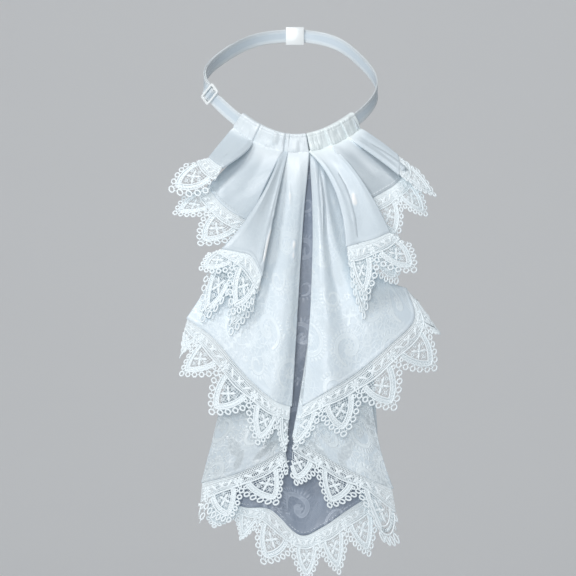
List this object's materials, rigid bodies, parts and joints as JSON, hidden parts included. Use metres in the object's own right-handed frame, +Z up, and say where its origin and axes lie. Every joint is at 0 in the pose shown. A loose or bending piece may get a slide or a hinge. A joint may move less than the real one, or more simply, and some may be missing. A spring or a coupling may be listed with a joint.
{
  "type": "jabot",
  "caption": "Jabot: an adjustable neck strap with a pleated heading and tiered satin panels, each hem edged with pointed guipure lace.",
  "frame": {"origin": "centre of the neck loop, where it sits round the neck", "axes": "+Z up, the front faces -Y, +X to the viewer's right"},
  "size_m": [0.2033, 0.185, 0.4186],
  "materials": {
    "satin": "white satin with a cool sheen",
    "lace": "matt white guipure lace",
    "ribbon": "satin ribbon, bluish white",
    "plastic": "glossy white"
  },
  "bodies": {
    "root": {"neck_strap": "ribbon", "strap_return": "ribbon", "strap_slider": "plastic", "back_clasp": "plastic", "heading_left": "satin", "heading_right": "satin", "back_panel": "satin", "left_centre_panel": "satin", "right_centre_panel": "satin", "left_inner_pleat": "satin", "right_inner_pleat": "satin", "left_middle_pleat": "satin", "right_middle_pleat": "satin", "left_outer_pleat": "satin", "right_outer_pleat": "satin", "lower_left_front": "satin", "lower_right_front": "satin", "lace_back_panel": "lace", "lace_left_centre_panel": "lace", "lace_right_centre_panel": "lace", "lace_left_inner_pleat": "lace", "lace_right_inner_pleat": "lace", "lace_left_inner_under": "lace", "lace_right_inner_under": "lace", "lace_left_middle_pleat": "lace", "lace_right_middle_pleat": "lace", "lace_left_outer_pleat": "lace", "lace_right_outer_pleat": "lace", "lace_lower_left_front": "lace", "lace_lower_right_front": "lace"}
  },
  "joints": []
}
